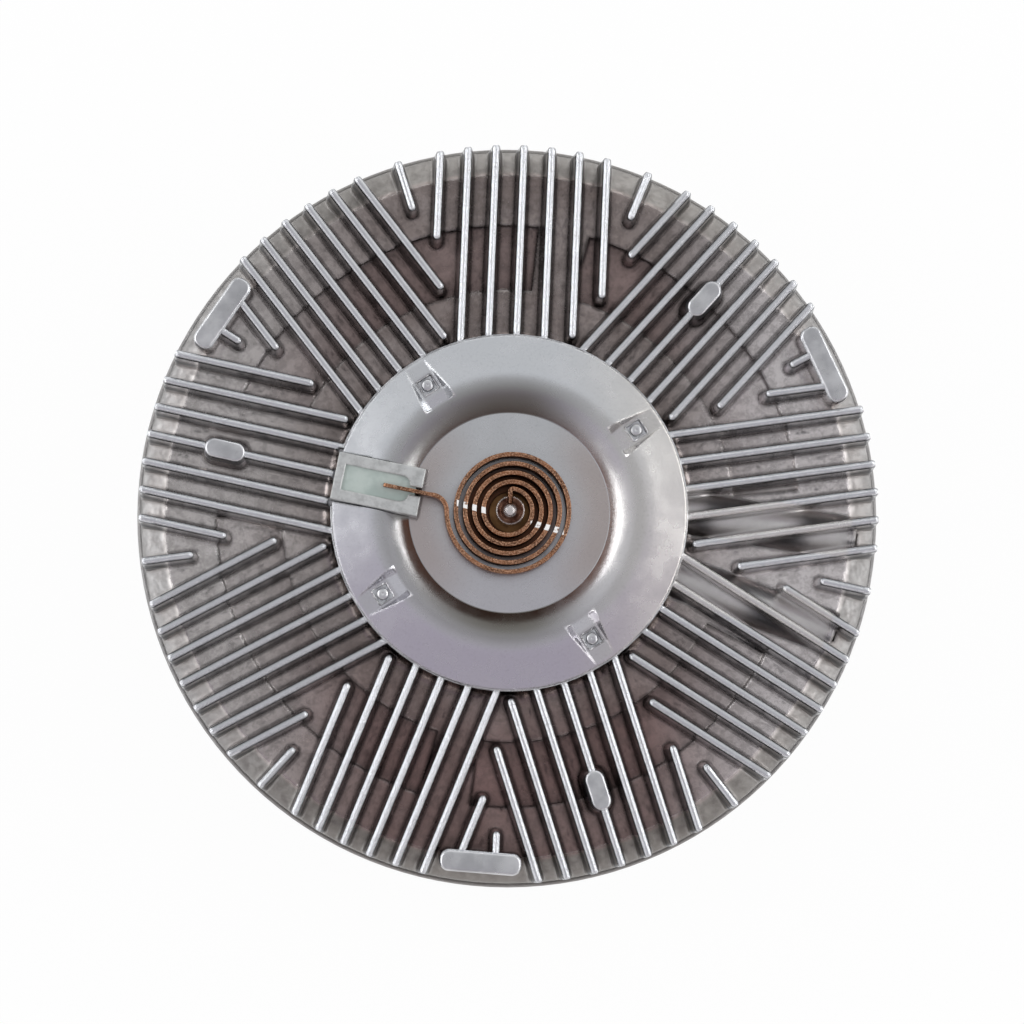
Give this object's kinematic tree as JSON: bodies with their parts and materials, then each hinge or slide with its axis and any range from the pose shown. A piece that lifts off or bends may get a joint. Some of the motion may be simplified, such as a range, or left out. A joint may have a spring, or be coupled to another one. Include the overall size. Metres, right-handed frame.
{
  "type": "viscous fan clutch",
  "caption": "Round viscous fan clutch with a finned cast cover, stamped centre plate, bimetal coil that turns a valve, grooved rotor, bearing and hexagon drive shaft.",
  "frame": {"origin": "centre of the hexagon's rear end face, on the clutch's axis", "axes": "+Z along the axis towards the finned front with the bimetal coil; +X to the right of the picture"},
  "size_m": [0.205, 0.205, 0.0858],
  "materials": {
    "cast_aluminium": "die-cast, lightly tumbled",
    "zinc_plate": "bright zinc plated",
    "block_aluminium": "matt",
    "potting": "cast resin",
    "bimetal": "copper-brown strip",
    "steel": "turned",
    "bush_brass": "turned",
    "seal_rubber": "moulded",
    "wiper_plastic": "moulded",
    "bearing_steel": "ground and polished",
    "rotor_aluminium": "cast and turned"
  },
  "bodies": {
    "housing": {"front_cover": "cast_aluminium", "rear_body": "cast_aluminium", "reservoir_plate": "zinc_plate", "coil_anchor": "block_aluminium", "anchor_potting": "potting", "bimetal_coil": "bimetal", "valve_bush": "bush_brass", "valve_oring": "seal_rubber", "pump_plate": "steel", "pump_plate_rivets": "block_aluminium", "wiper_blocks": "wiper_plastic", "passage_plugs": "steel", "cover_seal": "seal_rubber", "bearing_outer_ring": "bearing_steel", "bearing_front_seal": "seal_rubber", "bearing_rear_seal": "seal_rubber", "bearing_circlip": "steel"},
    "shaft": {"drive_shaft": "steel", "rotor": "rotor_aluminium", "rotor_circlip": "steel", "bearing_inner_ring": "bearing_steel"},
    "cage": {"bearing_cage": "bush_brass", "bearing_balls": "bearing_steel"},
    "valve": {"valve_shaft": "steel", "valve_arm": "steel", "valve_clip": "steel"}
  },
  "joints": [
    {"name": "shaft_spin", "type": "hinge", "parent": "housing", "child": "shaft", "pos_m": [0, 0, 0.033], "axis": [0, 0, 1], "continuous": true},
    {"name": "cage_spin", "type": "hinge", "parent": "housing", "child": "cage", "pos_m": [0, 0, 0.033], "axis": [0, 0, 1], "continuous": true},
    {"name": "valve_turn", "type": "hinge", "parent": "housing", "child": "valve", "pos_m": [0, 0, 0.07], "axis": [0, 0, 1], "range_deg": [0, 40], "stiffness_Nm_per_rad": 0.02, "deforming": ["bimetal_coil"]}
  ],
  "couplings": [
    {"joint": "cage_spin", "follows": "shaft_spin", "ratio": 0.3815}
  ]
}
